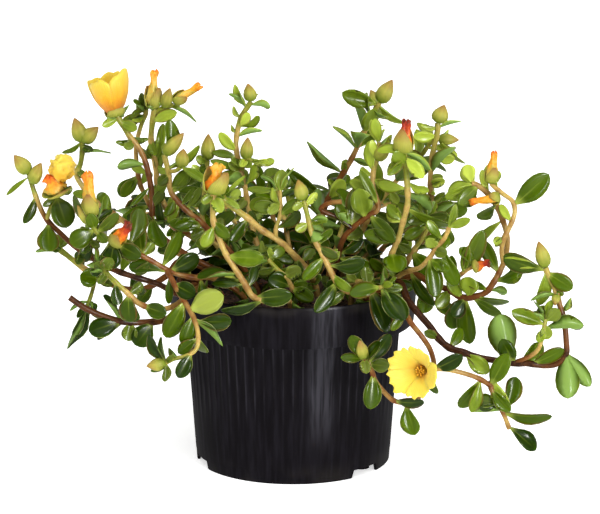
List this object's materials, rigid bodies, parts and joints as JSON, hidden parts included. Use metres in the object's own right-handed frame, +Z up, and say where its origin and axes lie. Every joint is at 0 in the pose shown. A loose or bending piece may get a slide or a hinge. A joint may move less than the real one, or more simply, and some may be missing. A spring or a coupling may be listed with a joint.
{
  "type": "potted portulaca",
  "caption": "Portulaca with fleshy spoon-shaped leaves, trailing stems, buds and yellow flowers, rooted in soil in a tapered ribbed nursery pot with a rim band.",
  "frame": {"origin": "centre of the pot's underside, on the surface that it stands on", "axes": "+Z up along the pot's axis; +X to the plant's right as seen from its front, along its greatest spread; -Y towards the plant's front"},
  "size_m": [0.275, 0.2064, 0.1969],
  "materials": {
    "pot_plastic": "satin",
    "potting_soil": "matte",
    "shoot_tissue": "satin",
    "yellow_petal": "matte",
    "withered_petal": "matte"
  },
  "bodies": {
    "root": {"crumpled_flower": "yellow_petal", "cup_flower": "yellow_petal", "nursery_pot": "pot_plastic", "open_flower": "yellow_petal", "potting_soil": "potting_soil", "shoot_back_far_right": "shoot_tissue", "shoot_back_left": "shoot_tissue", "shoot_back_left_inner": "shoot_tissue", "shoot_back_middle": "shoot_tissue", "shoot_back_pink": "shoot_tissue", "shoot_back_right": "shoot_tissue", "shoot_back_right_inner": "shoot_tissue", "shoot_back_top": "shoot_tissue", "shoot_brown_twins": "shoot_tissue", "shoot_bud_pair": "shoot_tissue", "shoot_crossing": "shoot_tissue", "shoot_cup_flower": "shoot_tissue", "shoot_cut_stub": "shoot_tissue", "shoot_diagonal": "shoot_tissue", "shoot_far_left": "shoot_tissue", "shoot_front_bud": "shoot_tissue", "shoot_front_long": "shoot_tissue", "shoot_hooked": "shoot_tissue", "shoot_inner_far_left": "shoot_tissue", "shoot_inner_far_right": "shoot_tissue", "shoot_inner_front": "shoot_tissue", "shoot_inner_left": "shoot_tissue", "shoot_inner_middle": "shoot_tissue", "shoot_inner_right": "shoot_tissue", "shoot_left_fork": "shoot_tissue", "shoot_left_pale": "shoot_tissue", "shoot_left_under": "shoot_tissue", "shoot_middle_low": "shoot_tissue", "shoot_over_rim": "shoot_tissue", "shoot_plump_bud": "shoot_tissue", "shoot_red_tip": "shoot_tissue", "shoot_right_bud": "shoot_tissue", "shoot_right_long": "shoot_tissue", "shoot_right_loop": "shoot_tissue", "shoot_rim_right": "shoot_tissue", "shoot_rim_rosette": "shoot_tissue", "shoot_spire": "shoot_tissue", "shoot_tall_right": "shoot_tissue", "shoot_twin_withered": "shoot_tissue", "shoot_under_flower": "shoot_tissue", "withered_flower_far_left": "withered_petal", "withered_flower_left": "withered_petal", "withered_flower_loop": "withered_petal", "withered_flower_low": "withered_petal", "withered_flower_middle": "withered_petal", "withered_flower_red": "withered_petal", "withered_flower_right": "withered_petal", "withered_flower_sideways": "withered_petal", "withered_flower_stem": "withered_petal", "withered_flower_upright": "withered_petal"}
  },
  "joints": []
}
